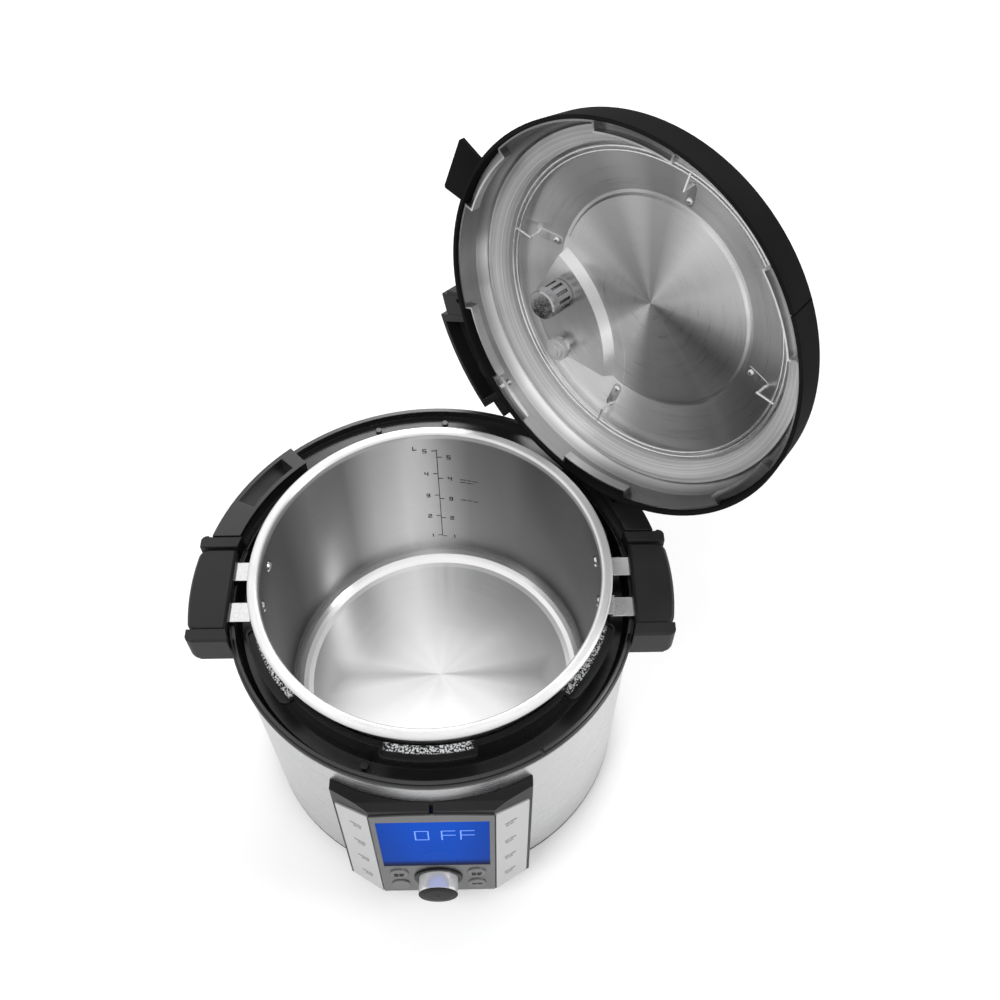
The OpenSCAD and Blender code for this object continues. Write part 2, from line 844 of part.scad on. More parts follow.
// two bent straps joined by a bar inside the grip
module pot_bracket(turn) {
  color("#dcdddf")
    rotate([0, 0, turn])
      difference() {
        intersection() {
          rotate_extrude()
            polygon([
              [pot_ro + 0.1, plate_z], [step_r - strap_t, plate_z], [step_r - strap_t, strap_top - strap_t],
              [strap_end, strap_top - strap_t], [strap_end, strap_top], [step_r, strap_top],
              [step_r, plate_z + strap_t], [pot_ro + 0.1 + strap_t, plate_z + strap_t],
              [pot_ro + 0.1 + strap_t, plate_top], [pot_ro + 0.1, plate_top]
            ]);
          union() {
            for (s = [-1, 1])
              slab(90, strap_end + 2, s * strap_y - strap_w / 2, s * strap_y + strap_w / 2, 0, 400);
            slab(grip_neck, strap_end + 2, -strap_y, strap_y, 0, 400);
          }
        }
        for (s = [-1, 1])
          rotate([0, 0, s * rivet_a])
            translate([pot_ro - 4, 0, rivet_z])
              rotate([0, 90, 0])
                cylinder(r = rivet_r + 0.05, h = 12);
      }
}

// block with an arc of radius r1 as its outer side, round outer corners and a bevelled top edge
module grip_block(x0, r1, half, c, z0, z1, bevel) {
  xc = sqrt(pow(r1 - c, 2) - pow(half - c, 2));
  intersection() {
    union() {
      difference() {
        union() {
          slab(x0, r1 + 2, c - half, half - c, z0, z1);
          difference() {
            slab(x0, xc, -half, half, z0, z1);
            for (s = [-1, 1])
              translate([0, s * half, z1 - bevel])
                rotate([s * 45, 0, 0])
                  slab(x0 - 1, xc + 1, s > 0 ? 0 : -8, s > 0 ? 8 : 0, -4, 8);
          }
        }
        translate([x0, 0, z1 - bevel])
          rotate([0, 45, 0])
            slab(-8, 0, -half - 1, half + 1, -4, 8);
      }
      for (s = [-1, 1])
        translate([xc, s * (half - c), 0]) {
          translate([0, 0, z0])
            cylinder(r = c + 0.03, h = z1 - bevel - z0);
          translate([0, 0, z1 - bevel])
            cylinder(r1 = c + 0.03, r2 = c + 0.03 - bevel, h = bevel);
        }
    }
    union() {
      translate([0, 0, z0 - 1])
        cylinder(r = r1, h = z1 - bevel - z0 + 1);
      translate([0, 0, z1 - bevel])
        cylinder(r1 = r1, r2 = r1 - bevel - 1, h = bevel + 1);
    }
  }
}

module pot_grip(turn) {
  color("#2b2b2d")
    rotate([0, 0, turn])
      difference() {
        grip_block(grip_in, grip_r, grip_half, grip_c, grip_low, grip_top, grip_bevel);
        slab(grip_in - 1, grip_neck, -grip_half - 1, grip_half + 1, grip_low - 1, grip_lip);
        for (s = [-1, 1])
          slab(grip_in - 1, strap_end, s * strap_y - strap_w / 2 - 0.05, s * strap_y + strap_w / 2 + 0.05,
               strap_top - strap_t - 0.05, strap_top + 0.05);
        slab(grip_neck - 0.2, strap_end, -strap_y, strap_y, strap_top - strap_t - 0.05, strap_top + 0.05);
      }
}

module pot_rivet(turn, s) {
  color("#e6e7e8")
    rotate([0, 0, turn + s * rivet_a])
      translate([0, 0, rivet_z])
        rotate([0, 90, 0]) {
          translate([0, 0, pot_r - 1.3])
            cylinder(r1 = 2.8, r2 = 4, h = 1.2);
          translate([0, 0, pot_r - 0.1])
            cylinder(r = rivet_r, h = pot_t + strap_t + 0.25);
          translate([0, 0, pot_ro + strap_t + 0.15])
            cylinder(r1 = 4, r2 = 2.8, h = 1.2);
        }
}

// ---------- lid, drawn closed side down in its own frame ----------
function cover_out(g) = [
  [lid_r + g, 0], [lid_top_r + g, lid_side], [lid_top_r - 2.7 + g, lid_side + 2.5],
  [lid_top_r - 7.7 + g, lid_side + 7.2 + g], [lid_top_r - 15.2 + g, lid_side + 13 + g],
  [lid_top_r - 22.7 + g, lid_side + 18 + g], [lid_top_r - 42.2, lid_side + 24 + g], [50, lid_side + 28.5 + g],
  [0, lid_side + 30 + g]
];

module cover_solid(g) {
  rotate_extrude()
    polygon(concat([[0, 0]], cover_out(g)));
}

// tab on the side wall, half wide at its end and root wide at the wall
module fin(a, reach, half, root) {
  rotate([0, 0, a])
    translate([0, 0, fin_z - fin_t / 2])
      linear_extrude(fin_t)
        polygon([
          [lid_r - 3.5, -root], [lid_r + reach - 1, -half], [lid_r + reach, 1.5 - half],
          [lid_r + reach, half - 1.5], [lid_r + reach - 1, half], [lid_r - 3.5, root]
        ]);
}

module lid_cover() {
  color("#202022")
    difference() {
      union() {
        rotate_extrude()
          polygon(concat(cover_out(0), [
            [0, lid_side + 27.4], [49.7, lid_side + 26], [lid_top_r - 42.8, lid_side + 21.6],
            [lid_top_r - 23.4, lid_side + 16.2], [lid_top_r - 16.4, lid_side + 10.9],
            [lid_top_r - 9, lid_side + 5.2], [lid_top_r - 4.4, lid_side + 0.9],
            [lid_top_r - lid_t, lid_side - 1], [lid_r - lid_t, 0]
          ]));
        translate([0, 0, steel_z + steel_t])
          cylinder(r = 9, h = 5);
        fin(fin_a, fin_reach, fin_half, fin_half + 2.5);
        fin(fin_far_a, fin_far, fin_far_half, fin_far_half - 3.5);
      }
      rotate([0, 0, shield_a])
        translate([shield_r, 0, 30])
          cylinder(r = 5.2, h = 40);
      rotate([0, 0, float_a])
        translate([float_r, 0, 30])
          cylinder(r = 4.4, h = 40);
      slab(-0.4, 0.4, -lid_r - 1, -lid_r + 5, -1, lid_side);
    }
}

module lid_handle() {
  color("#1d1d1f")
    difference() {
      union() {
        for (s = [-1, 1])
          slab(s > 0 ? 46 : -60, s > 0 ? 60 : -46, -12, 12, lid_side + 18, lid_side + 50);
        slab(-60, 60, -14, 14, lid_side + 46, lid_side + 58);
      }
      cover_solid(0.02);
      for (s = [-1, 1])
        translate([0, s * 17.5, lid_side + 44])
          rotate([0, 90, 0])
            cylinder(r = 6, h = 140, center = true);
    }
}

module lid_rear_block() {
  color("#171718")
    difference() {
      union() {
        sector(lid_r - 6, block_r, block_z0, block_z1, block_b0 + 5, block_b1 - 7);
        sector(lid_r - 6.3, block_r - 7, block_z0 + 0.25, block_z1 - 4.7, block_b1 - 8, block_b1 - 1);
        sector(lid_r - 6.6, block_r - 12, block_z0 + 0.5, block_z1 - 4.4, block_b0, block_b1);
      }
      cover_solid(0.1);
      sector(lid_r + 4, block_r - 3, block_z0 - 1, block_z1 - 8, block_b0 + 7, block_b1 - 9);
      rotate([0, 0, 80])
        translate([block_r - 14, 0, block_z0])
          cylinder(r = 7 + run_gap, h = 40);
      for (a = [block_b1 - 2.6, block_b0 + 2.4])
        rotate([0, 0, a])
          translate([lid_r + 9, 0, block_z0 - 1])
            cylinder(r = 1.6, h = 10);
    }
}

module release_button() {
  color("#2d2d30")
    rotate([0, 0, 80])
      translate([block_r - 14, 0, 0]) {
        translate([0, 0, block_z1 - 9])
          cylinder(r = 7, h = 12);
        translate([0, 0, block_z1 - 11])
          cylinder(r = 8.6, h = 2.8);
      }
}

module steel_dish() {
  rotate_extrude()
    polygon([
      [0, steel_z], [kidney_r + 2, steel_z], [seat_r - 19.5, steel_z - 7.6], [seat_r - 13.5, steel_z - 12.6],
      [seat_r - 5, steel_z - 19.7], [wall_in - 2, steel_z - 28.7], [wall_in, tooth_z + 0.5],
      [wall_in + steel_t, tooth_z + 0.5], [wall_in - 2 + steel_t, steel_z - 28.4],
      [seat_r - 4.1, steel_z - 18.9], [seat_r - 12.7, steel_z - 11.7], [seat_r - 19, steel_z - 6.3],
      [kidney_r + 2.2, steel_z + steel_t], [0, steel_z + steel_t]
    ]);
}

// all that lies under the middle of the dish's sheet
module under_dish() {
  rotate_extrude()
    polygon([
      [0, 10], [seat_r - 12, 10], [seat_r - 13.1, steel_z - 12.1], [seat_r - 19.2, steel_z - 6.9],
      [kidney_r + 2.1, steel_z + 0.7], [0, steel_z + 0.7]
    ]);
}

// raised floor round the valves, pressed toward the open side; d sinks it into its own wall
module valve_pocket(d, turn) {
  z = pocket_z + d;
  translate([pocket_c[0], pocket_c[1], 0])
    rotate([0, 0, 237 + turn])
      rotate_extrude(angle = 65 - 2 * turn)
        polygon([
          [30 + d, z], [pocket_r - 0.4 * d, z], [pocket_r + 5 - 0.8 * d, steel_z + (d > 0 ? 2 : 0.5)],
          [30 + d, steel_z + (d > 0 ? 2 : 0.5)]
        ]);
}

// shallow raised field of the dish, with a sloped edge and a bay cut round the valves
module kidney() {
  difference() {
    translate([0, 0, steel_z - kidney_h])
      cylinder(r1 = kidney_r - 1.6, r2 = kidney_r + 0.4, h = kidney_h + 0.4);
    translate([pocket_c[0], pocket_c[1], steel_z - kidney_h - 1])
      cylinder(r1 = pocket_r + 15.4, r2 = pocket_r + 11, h = kidney_h + 3);
  }
}

// the rim turns inward in teeth that pass under the lobes of the base
module rim_tooth(d) {
  sector(tooth_in + d, d > 0 ? wall_in + 4 : wall_in + 0.2, tooth_z - d, tooth_z + 6.5 - d,
         0.5 * d - tooth_half, tooth_half - 0.5 * d);
}

module lid_steel() {
  color("#c4c6c8")
    difference() {
      union() {
        steel_dish();
        for (a = [30:60:330])
          rotate([0, 0, a])
            rim_tooth(0);
        sector(tooth_in - 1, wall_in + 0.5, tooth_z, tooth_z + tooth_t, tab_a0, tab_a1);
        kidney();
        intersection() {
          valve_pocket(0, 0);
          under_dish();
        }
      }
      for (a = [30:60:330])
        rotate([0, 0, a])
          rim_tooth(steel_t);
      valve_pocket(steel_t, 1.2);
      rotate([0, 0, shield_a])
        translate([shield_r, 0, 30])
          cylinder(r = 4.6, h = 40);
      rotate([0, 0, float_a])
        translate([float_r, 0, 30])
          cylinder(r = 3.4 + run_gap, h = 40);
      rotate([0, 0, pin_a])
        translate([pin_r, 0, 0])
          cylinder(r = pin_d + run_gap, h = 8);
    }
}

module sealing_ring() {
  color("#c9cdd0")
    rotate_extrude()
      polygon([
        [seat_r - 17.5, steel_z - 15.6], [seat_r - 17.5, steel_z - 9.6], [seat_r - 13.5, steel_z - 12.9],
        [seat_r - 5.7, steel_z - 19.4], [seat_r - 5.3, steel_z - 22], [seat_r - 9.5, steel_z - 22.8],
        [seat_r - 15.5, steel_z - 19.8]
      ]);
}

module ring_rack() {
  color("#b9bbbd") {
    rotate_extrude()
      translate([seat_r - 20.2, steel_z - 13.6])
        circle(r = 1);
    rotate_extrude()
      translate([seat_r - 22.9, steel_z - 13])
        circle(r = 0.9);
    for (a = [42, 130, 222, 310])
      rotate([0, 0, a]) {
        translate([rack_in, 0, steel_z - 13.6])
          rotate([0, 90, 0])
            cylinder(r = 0.8, h = seat_r - 20.4 - rack_in);
        translate([rack_in + 1, 0, steel_z - 13.6])
          cylinder(r = 0.9, h = 9);
      }
  }
}

module steam_shield() {
  color("#a9abad")
    rotate([0, 0, shield_a])
      translate([shield_r, 0, 0])
        difference() {
          union() {
            translate([0, 0, 17.5])
              cylinder(r1 = 9.4, r2 = 10.4, h = 1.2);
            translate([0, 0, 18.7])
              cylinder(r = 10.4, h = pocket_z - gap - 18.7);
          }
          translate([0, 0, 20.2])
            cylinder(r = 9, h = 30);
          for (a = [0:30:330])
            rotate([0, 0, a])
              slab(5, 14, -1.1, 1.1, 24.5, pocket_z - 3);
          for (a = [0:60:300])
            rotate([0, 0, a])
              translate([3.2, 0, 16])
                cylinder(r = 0.7, h = 6);
          translate([0, 0, 16])
            cylinder(r = 0.7, h = 6);
        }
}

module steam_pipe() {
  color("#b3b4b6")
    rotate([0, 0, shield_a])
      translate([shield_r, 0, 0])
        difference() {
          union() {
            translate([0, 0, 28])
              cylinder(r = 4.5, h = 32);
            translate([0, 0, pocket_z - 3.4])
              cylinder(r = 8.6, h = 1.8);
            translate([0, 0, pocket_z - 2])
              cylinder(r = 6.4, h = 1.7);
          }
          translate([0, 0, 27])
            cylinder(r = 2.4, h = 40);
        }
}

module steam_weight() {
  color("#232326")
    rotate([0, 0, shield_a])
      translate([shield_r, 0, 0])
        difference() {
          union() {
            translate([0, 0, 51.2])
              cylinder(r = 11, h = 9);
            translate([0, 0, 60.2])
              cylinder(r1 = 11, r2 = 8, h = 4);
          }
          translate([0, 0, 50])
            cylinder(r = 4.5 + run_gap, h = 10.4);
        }
}

module float_valve() {
  color("#cbccce")
    rotate([0, 0, float_a])
      translate([float_r, 0, 0]) {
        translate([0, 0, pocket_z - 8])
          cylinder(r = 3.4, h = 26);
        translate([0, 0, pocket_z - 8])
          cylinder(r = 6.8, h = 3.4);
      }
}

module float_seal() {
  color("#d3d6d8")
    rotate([0, 0, float_a])
      translate([float_r, 0, 0])
        difference() {
          union() {
            translate([0, 0, pocket_z - 14.4])
              cylinder(r = 3.2, h = 2);
            translate([0, 0, pocket_z - 13.4])
              cylinder(r1 = 5.4, r2 = 5.9, h = 2.4);
            translate([0, 0, pocket_z - 11.6])
              cylinder(r = 8, h = 3.6);
          }
          translate([0, 0, pocket_z - 10.4])
            cylinder(r = 5, h = 5);
        }
}

module lid_lock_pin() {
  color("#d9dadc")
    rotate([0, 0, pin_a])
      translate([pin_r, 0, 0]) {
        translate([0, 0, -1])
          cylinder(r = pin_d, h = 8.6);
        translate([0, 0, 7.6])
          cylinder(r = pin_d + 0.8, h = 1.4);
      }
}

module lid_lock_plate() {
  color("#c9cacc")
    difference() {
      sector(tooth_in - 0.6, wall_in - 1.2, tooth_z + tooth_t, tooth_z + tooth_t + 1.2,
             tab_a0 + 1, tab_a1 - 1);
      rotate([0, 0, pin_a])
        translate([pin_r, 0, 0])
          cylinder(r = pin_d + run_gap, h = 8);
      rotate([0, 0, 66])
        translate([pin_r, 0, 0])
          cylinder(r = 1, h = 8);
    }
}

// ---------- draw ----------
base_pan();
foot(225);  // foot_front_left
foot(315);  // foot_front_right
foot(135);  // foot_rear_left
foot(45);  // foot_rear_right
steel_shell();
collar();
handle_cradle(180);  // handle_cradle_left
handle_cradle(0);  // handle_cradle_right
rear_housing();
power_inlet();
condensate_cup();
outer_pot();
heater_plate();
heater_element();
sensor_cap();
sensor_bracket();
thermal_fuse();
power_board();
control_housing();
face_panel();
key_panel(-1);  // key_panel_left
key_panel(1);  // key_panel_right
display_window();
display_module();
control_board();
dial_ring();
dial_body();
dial_cap();
dial_shaft();
dial_encoder();
button(-1, btn_y[0]);  // button_upper_left
button(-1, btn_y[1]);  // button_lower_left
button(1, btn_y[0]);  // button_upper_right
button(1, btn_y[1]);  // button_lower_right
pot_vessel();
pot_base_disc();
pot_bracket(180);  // pot_bracket_left
pot_bracket(0);  // pot_bracket_right
pot_grip(180);  // pot_grip_left
pot_grip(0);  // pot_grip_right
pot_rivet(180, 1);  // pot_rivet_left_front
pot_rivet(180, -1);  // pot_rivet_left_rear
pot_rivet(0, -1);  // pot_rivet_right_front
pot_rivet(0, 1);  // pot_rivet_right_rear
lid_frame() lid_cover();
lid_frame() lid_handle();
lid_frame() lid_rear_block();
lid_frame() lid_steel();
lid_frame() sealing_ring();
lid_frame() ring_rack();
lid_frame() steam_shield();
lid_frame() steam_pipe();
lid_frame() steam_weight();
lid_frame() release_button();
lid_frame() float_valve();
lid_frame() float_seal();
lid_frame() lid_lock_pin();
lid_frame() lid_lock_plate();
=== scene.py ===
import json
import math

import bmesh
import bpy
from mathutils import Matrix, Vector


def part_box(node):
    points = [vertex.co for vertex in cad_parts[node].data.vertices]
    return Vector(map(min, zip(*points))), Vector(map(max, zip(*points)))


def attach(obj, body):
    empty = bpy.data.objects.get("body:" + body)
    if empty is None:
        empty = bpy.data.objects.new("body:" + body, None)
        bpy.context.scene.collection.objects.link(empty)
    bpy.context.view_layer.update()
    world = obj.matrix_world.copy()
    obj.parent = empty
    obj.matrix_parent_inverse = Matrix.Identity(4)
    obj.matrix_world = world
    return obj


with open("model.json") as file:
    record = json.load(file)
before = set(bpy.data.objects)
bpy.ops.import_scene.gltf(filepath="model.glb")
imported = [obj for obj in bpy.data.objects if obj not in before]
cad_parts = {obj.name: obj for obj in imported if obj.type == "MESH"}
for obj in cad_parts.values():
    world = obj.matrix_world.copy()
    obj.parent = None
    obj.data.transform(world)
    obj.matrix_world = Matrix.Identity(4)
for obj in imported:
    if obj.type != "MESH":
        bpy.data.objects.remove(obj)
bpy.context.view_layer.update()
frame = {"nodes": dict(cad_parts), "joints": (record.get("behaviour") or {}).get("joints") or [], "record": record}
NODES = frame["nodes"]

# ---------------------------------------------------------------- places taken from the frame


def mid(node):
    """Centre of a node's box."""
    lo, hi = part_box(node)
    return (lo + hi) / 2


def joint(name):
    return next(j for j in frame["joints"] if j["name"] == name)


LID_UP = Vector(joint("weight_lift")["axis"]).normalized()
PANEL_OUT = Vector(joint("dial_turn")["axis"]).normalized()
PANEL_UP = PANEL_OUT.cross(Vector((1, 0, 0))).normalized()
PANEL_MID = Vector(joint("dial_turn")["pos_m"])
WING_TURN = math.radians(30)  # how far a key panel turns back from the front's face
PLATE_FACE = 0.0012  # how far the key panels' face stands out of the fold
POT_INSIDE_R = 0.1094
INK_THICK = 0.00012


def lid_centre():
    """Centre of the lid's open edge, from the centre of the sealing ring and the lid's axis."""
    c = mid("sealing_ring")
    pin = mid("lid_lock_pin")
    return c + LID_UP * ((pin - c).dot(LID_UP) - 0.004)


LID = lid_centre()
RELEASE_WAY = mid("release_button") - LID
RELEASE_WAY = (RELEASE_WAY - LID_UP * RELEASE_WAY.dot(LID_UP)).normalized()
# The release button stands 10 degrees round from the lid's own Y.
LID_Y = Matrix.Rotation(math.radians(10), 3, LID_UP) @ RELEASE_WAY
LID_X = LID_Y.cross(LID_UP).normalized()


def on_panel(x, y, z):
    """Point on the front panel: x right, y up and z out, from the dial's centre on the face, in metres."""
    return PANEL_MID + Vector((1, 0, 0)) * x + PANEL_UP * y + PANEL_OUT * z


# ---------------------------------------------------------------- node tree helpers


def new_material(name):
    mat = bpy.data.materials.new(name)
    mat.use_nodes = True
    tree = mat.node_tree
    shader = tree.nodes["Principled BSDF"]
    return mat, tree, shader


def add(tree, kind, **values):
    node = tree.nodes.new(kind)
    for key, value in values.items():
        setattr(node, key, value)
    return node


def link(tree, a, b):
    tree.links.new(a, b)


def math_node(tree, op, a, b=None):
    node = add(tree, "ShaderNodeMath", operation=op)
    for k, v in enumerate((a, b)):
        if v is None:
            continue
        if isinstance(v, (int, float)):
            node.inputs[k].default_value = v
        else:
            link(tree, v, node.inputs[k])
    return node.outputs[0]


def vector_node(tree, op, a, b=None, scale=None):
    node = add(tree, "ShaderNodeVectorMath", operation=op)
    for k, v in enumerate((a, b)):
        if v is None:
            continue
        if isinstance(v, (tuple, list, Vector)):
            node.inputs[k].default_value = tuple(v)
        else:
            link(tree, v, node.inputs[k])
    if scale is not None:
        if isinstance(scale, (int, float)):
            node.inputs["Scale"].default_value = scale
        else:
            link(tree, scale, node.inputs["Scale"])
    return node.outputs["Value"] if op in ("DOT_PRODUCT", "LENGTH") else node.outputs["Vector"]


def object_point(tree):
    return add(tree, "ShaderNodeTexCoord").outputs["Object"]


def noise(tree, vector, scale, detail=3.0, rough=0.5):
    node = add(tree, "ShaderNodeTexNoise")
    node.inputs["Scale"].default_value = scale
    node.inputs["Detail"].default_value = detail
    node.inputs["Roughness"].default_value = rough
    link(tree, vector, node.inputs["Vector"])
    return node.outputs["Fac"]


def remap(tree, value, lo, hi, out_lo, out_hi):
    node = add(tree, "ShaderNodeMapRange")
    for key, v in zip(("From Min", "From Max", "To Min", "To Max"), (lo, hi, out_lo, out_hi)):
        node.inputs[key].default_value = v
    link(tree, value, node.inputs["Value"])
    return node.outputs["Result"]


def ramp(tree, value, stops):
    node = add(tree, "ShaderNodeValToRGB")
    els = node.color_ramp.elements
    while len(els) < len(stops):
        els.new(0.5)
    for el, (pos, col) in zip(els, stops):
        el.position = pos
        el.color = (*col, 1)
    link(tree, value, node.inputs["Fac"])
    return node.outputs["Color"]


def bump(tree, shader, height, distance, strength=1.0, normal=None):
    node = add(tree, "ShaderNodeBump")
    node.inputs["Distance"].default_value = distance
    node.inputs["Strength"].default_value = strength
    link(tree, height, node.inputs["Height"])
    if normal is not None:
        link(tree, normal, node.inputs["Normal"])
    link(tree, node.outputs["Normal"], shader.inputs["Normal"])
    return node.outputs["Normal"]


def shade(colour, factor, lift=0.0):
    return tuple(min(1.0, c * factor + lift) for c in colour)


def tint_by(tree, shader, value, lo, hi, low, high):
    """Base colour from low to high while value goes from lo to hi."""
    link(tree, ramp(tree, value, [(lo, low), (hi, high)]), shader.inputs["Base Color"])


def soft_edge(tree, radius):
    node = add(tree, "ShaderNodeBevel", samples=4)
    node.inputs["Radius"].default_value = radius
    return node.outputs["Normal"]


# ---------------------------------------------------------------- materials


def plastic(name, colour, rough, grain=2600.0, depth=0.00002, edge=0.0008, spec=0.22):
    """Moulded plastic: fine spark texture, slight change of gloss over the surface, rounded edges."""
    mat, tree, shader = new_material(name)
    p = object_point(tree)
    fine = noise(tree, p, grain, 2.0)
    broad = noise(tree, p, 18.0, 3.0)
    tint_by(tree, shader, broad, 0.3, 0.7, shade(colour, 0.8), shade(colour, 1.25, 0.003))
    link(tree, remap(tree, broad, 0.3, 0.7, rough * 0.88, rough * 1.14), shader.inputs["Roughness"])
    shader.inputs["Specular IOR Level"].default_value = spec
    bump(tree, shader, fine, depth, 0.5, soft_edge(tree, edge) if edge else None)
    return mat


def brush_space(tree, centre=(0, 0, 0), axes=None, sign=1.0):
    """Round and along coordinates of a turned surface, and its radial direction."""
    p = vector_node(tree, "SUBTRACT", object_point(tree), centre)
    ex, ey, ez = axes or (Vector((1, 0, 0)), Vector((0, 1, 0)), Vector((0, 0, 1)))
    x = vector_node(tree, "DOT_PRODUCT", p, ex)
    y = vector_node(tree, "DOT_PRODUCT", p, ey)
    z = vector_node(tree, "DOT_PRODUCT", p, ez)
    flat = vector_node(tree, "SUBTRACT", p, vector_node(tree, "SCALE", tuple(ez), scale=z))
    r = vector_node(tree, "LENGTH", flat)
    angle = math_node(tree, "ARCTAN2", x, math_node(tree, "MULTIPLY", y, -1.0))
    along = math_node(tree, "ADD", r, math_node(tree, "MULTIPLY", z, sign))
    return {"x": x, "y": y, "z": z, "r": r, "angle": angle, "along": along, "radial": flat, "axis": ez}


def brushed(
    name, colour, rough, aniso, space, fine=1500.0, spread=0.07, wall_at=None, tint=0.06, fan=0.0, wedges=0.0,
    wall_bands=None, lip=None, gloss=1.0,
):
    """Steel brushed round an axis. Highlights stretch across the brushing. fan sets how far the sectors of
    a plate differ in tone, a painted reflection of bright and dark sectors, and wedges darkens the two that
    point along X with painted shade. wall_at says where the plate turns into a wall, wall_bands are the tones round
    that wall, a painted reflection, lip says where the rim begins, above which the painted bands stop and the
    tone drops to 0.84, so the rim stays bright, and gloss is how rough the plate is against the wall."""
    mat, tree, shader = new_material(name)
    s = brush_space(tree, *space)

    def streaks(round_scale, along_scale, detail, roughness):
        at = add(tree, "ShaderNodeCombineXYZ")
        link(tree, math_node(tree, "MULTIPLY", s["angle"], round_scale), at.inputs[0])
        link(tree, math_node(tree, "MULTIPLY", s["along"], along_scale), at.inputs[1])
        return noise(tree, at.outputs[0], 1.0, detail, roughness)

    lines = streaks(1.6, fine, 5.0, 0.62)
    wide = streaks(0.9, fine * 0.08, 2.0, 0.5)
    both = math_node(tree, "ADD", math_node(tree, "MULTIPLY", lines, 0.75), math_node(tree, "MULTIPLY", wide, 0.25))
    tone = ramp(tree, both, [(0.34, shade(colour, 1 - tint)), (0.66, shade(colour, 1 + tint))])
    around = vector_node(tree, "NORMALIZE", s["radial"])
    # painted reflection: bright and dark sectors round the centre, in place of the brushed plate's fan of highlights
    if fan:
        wedge = remap(tree, noise(tree, around, 1.35, 1.0, 0.5), 0.36, 0.64, 1.0 - fan, 1.0 + fan)
        tone = vector_node(tree, "SCALE", tone, scale=wedge)
    # painted shade: the sectors that point along X darker, fading out between r 0.05 and 0.085
    if wedges:
        side = math_node(tree, "DIVIDE", s["y"], math_node(tree, "MAXIMUM", s["r"], 0.0001))
        side = math_node(tree, "ABSOLUTE", side)
        dark = remap(tree, side, 0.03, 0.2, 1.0 - wedges, 1.0)
        fade = remap(tree, s["r"], 0.05, 0.085, 0.0, 1.0)
        tone = vector_node(tree, "SCALE", tone, scale=math_node(tree, "MAXIMUM", dark, fade))
    roughness = remap(tree, both, 0.3, 0.7, rough - spread, rough + spread)
    tangent = around
    if wall_at is not None:
        key, start, end = wall_at
        wall = remap(tree, s[key], start, end, 0.0, 1.0)
        roughness = math_node(tree, "MULTIPLY", roughness, remap(tree, s[key], start, end, gloss, 1.0))
        radial = vector_node(tree, "SCALE", around, scale=math_node(tree, "SUBTRACT", 1.0, wall))
        up = vector_node(tree, "SCALE", tuple(s["axis"]), scale=wall)
        tangent = vector_node(tree, "NORMALIZE", vector_node(tree, "ADD", radial, up))
    # painted reflection: tones round the wall, stopped at the rim by lip, where the tone drops to 0.84 instead
    if wall_bands is not None:
        turn = remap(tree, s["angle"], -math.pi, math.pi, 0.0, 1.0)
        reflection_band_tone = ramp(tree, turn, [(t, (v, v, v)) for t, v in wall_bands])
        share = wall
        if lip is not None:
            share = math_node(tree, "MULTIPLY", share, remap(tree, s["z"], lip[0], lip[1], 1.0, 0.0))
            tone = vector_node(tree, "SCALE", tone, scale=remap(tree, s["z"], lip[0], lip[1], 1.0, 0.84))
        keep = math_node(tree, "SUBTRACT", 1.0, share)
        scale = math_node(tree, "ADD", keep, math_node(tree, "MULTIPLY", reflection_band_tone, share))
        tone = vector_node(tree, "SCALE", tone, scale=scale)
    link(tree, tone, shader.inputs["Base Color"])
    link(tree, roughness, shader.inputs["Roughness"])
    link(tree, tangent, shader.inputs["Tangent"])
    shader.inputs["Metallic"].default_value = 1.0
    shader.inputs["Anisotropic"].default_value = aniso
    bump(tree, shader, lines, 0.000006, 0.5)
    return mat


def plain_metal(name, colour, rough, edge=0.0004, scale=300.0):
    """Metal with a fine, even grain and softened edges."""
    mat, tree, shader = new_material(name)
    p = object_point(tree)
    n = noise(tree, p, scale, 4.0)
    tint_by(tree, shader, n, 0.3, 0.7, shade(colour, 0.92), shade(colour, 1.05))
    link(tree, remap(tree, n, 0.3, 0.7, max(0.03, rough - 0.06), rough + 0.06), shader.inputs["Roughness"])
    shader.inputs["Metallic"].default_value = 1.0
    bump(tree, shader, n, 0.00001, 0.4, soft_edge(tree, edge) if edge else None)
    return mat


def rubber(name, colour, rough, see_through=0.0, rings=None):
    """Rubber or silicone. rings is the space of a round piece, whose layers then differ in tone as painted
    concentric highlights and shade.
    """
    mat, tree, shader = new_material(name)
    p = object_point(tree)
    n = noise(tree, p, 25.0, 2.0)
    depth = 0.03
    # painted highlights: light and dark rings round the piece in place of the silicone's concentric sheen
    if rings:
        s = brush_space(tree, *rings)
        at = add(tree, "ShaderNodeCombineXYZ")
        link(tree, math_node(tree, "MULTIPLY", s["along"], 420.0), at.inputs[0])
        n = noise(tree, at.outputs[0], 1.0, 3.0)
        depth = 0.22
    tint_by(tree, shader, n, 0.36, 0.64, shade(colour, 1 - depth), shade(colour, 1 + depth))
    link(tree, remap(tree, n, 0.3, 0.7, rough - 0.04, rough + 0.04), shader.inputs["Roughness"])
    shader.inputs["Transmission Weight"].default_value = see_through
    shader.inputs["IOR"].default_value = 1.41
    if see_through:
        shader.inputs["Coat Weight"].default_value = 0.5
        shader.inputs["Coat Roughness"].default_value = 0.08
    bump(tree, shader, noise(tree, p, 900.0, 2.0), 0.000008, 0.3)
    return mat


